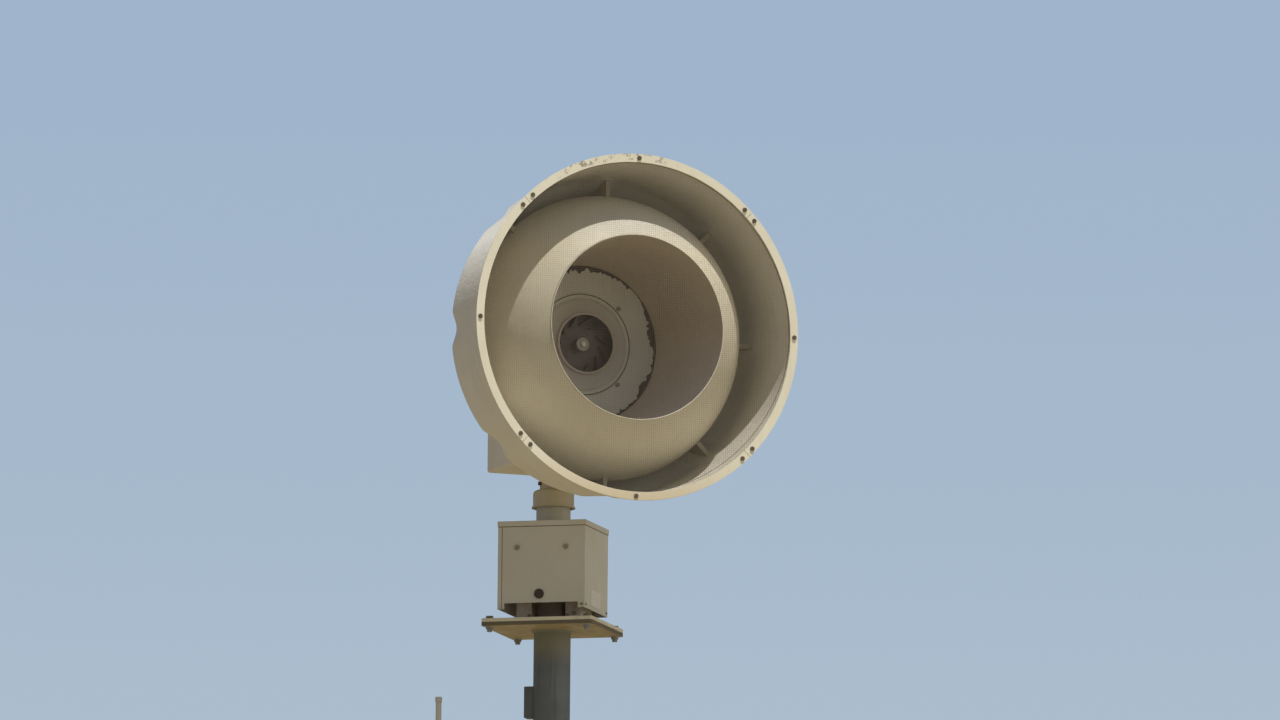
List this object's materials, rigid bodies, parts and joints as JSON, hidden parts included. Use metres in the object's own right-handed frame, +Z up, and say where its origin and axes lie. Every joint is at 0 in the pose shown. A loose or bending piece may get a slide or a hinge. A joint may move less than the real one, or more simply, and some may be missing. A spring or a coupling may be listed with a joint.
{
  "type": "civil defense siren tower",
  "caption": "Outdoor warning siren with a round rotating horn, rear motor housing and drive box, bolted on top of a stepped steel pole with a side-arm radio antenna.",
  "frame": {"origin": "centre of the base flange's underside, on the pole's axis, at ground level", "axes": "+Z up along the pole; the horn faces -Y at rest; +X is to the right when the horn is seen from its mouth"},
  "size_m": [1.0718, 0.9145, 12.0729],
  "materials": {
    "pole_paint": "matt, weathered",
    "siren_paint": "satin, weathered",
    "fibreglass": "satin, weathered gelcoat",
    "cast_aluminium": "dull",
    "fastener_steel": "dull",
    "black_plastic": "matt",
    "antenna_tube": "matt"
  },
  "bodies": {
    "mast": {"base_flange": "pole_paint", "base_gussets": "pole_paint", "pole_lower": "pole_paint", "lower_reducer": "pole_paint", "pole_middle": "pole_paint", "upper_reducer": "pole_paint", "pole_upper": "pole_paint", "handhole_cover": "pole_paint", "pole_side_box": "pole_paint", "antenna_arm": "pole_paint", "antenna_bands": "pole_paint", "antenna_whip": "antenna_tube", "pole_top_plate": "pole_paint", "siren_base_plate": "siren_paint", "plate_bolts": "fastener_steel", "riser_pipe": "siren_paint", "riser_bearings": "fastener_steel", "box_frame": "siren_paint", "box_walls": "siren_paint", "box_lid": "siren_paint", "box_bolts": "fastener_steel", "hole_plug": "black_plastic", "rating_plate": "cast_aluminium"},
    "head": {"turn_shaft": "fastener_steel", "collar": "siren_paint", "neck_ring": "siren_paint", "neck_bolts": "fastener_steel", "rear_housing": "siren_paint", "rear_cover": "siren_paint", "cover_screws": "fastener_steel", "stator": "cast_aluminium", "outer_shell": "fibreglass", "inner_fairing": "fibreglass", "intake_duct": "fibreglass", "vanes": "siren_paint", "rim_screws": "fastener_steel", "rim_segment_left": "fibreglass", "rim_segment_top": "fibreglass", "rim_segment_right": "fibreglass", "rim_segment_bottom": "fibreglass", "back_plate": "cast_aluminium", "back_plate_bolts": "fastener_steel", "inlet_ring": "cast_aluminium"},
    "rotor": {"rotor": "cast_aluminium", "rotor_nut": "fastener_steel"}
  },
  "joints": [
    {"name": "head_turn", "type": "hinge", "parent": "mast", "child": "head", "pos_m": [0, 0, 11.537], "axis": [0, 0, 1], "continuous": true},
    {"name": "rotor_spin", "type": "hinge", "parent": "head", "child": "rotor", "pos_m": [0, 0, 11.537], "axis": [0, -1, 0], "continuous": true}
  ]
}
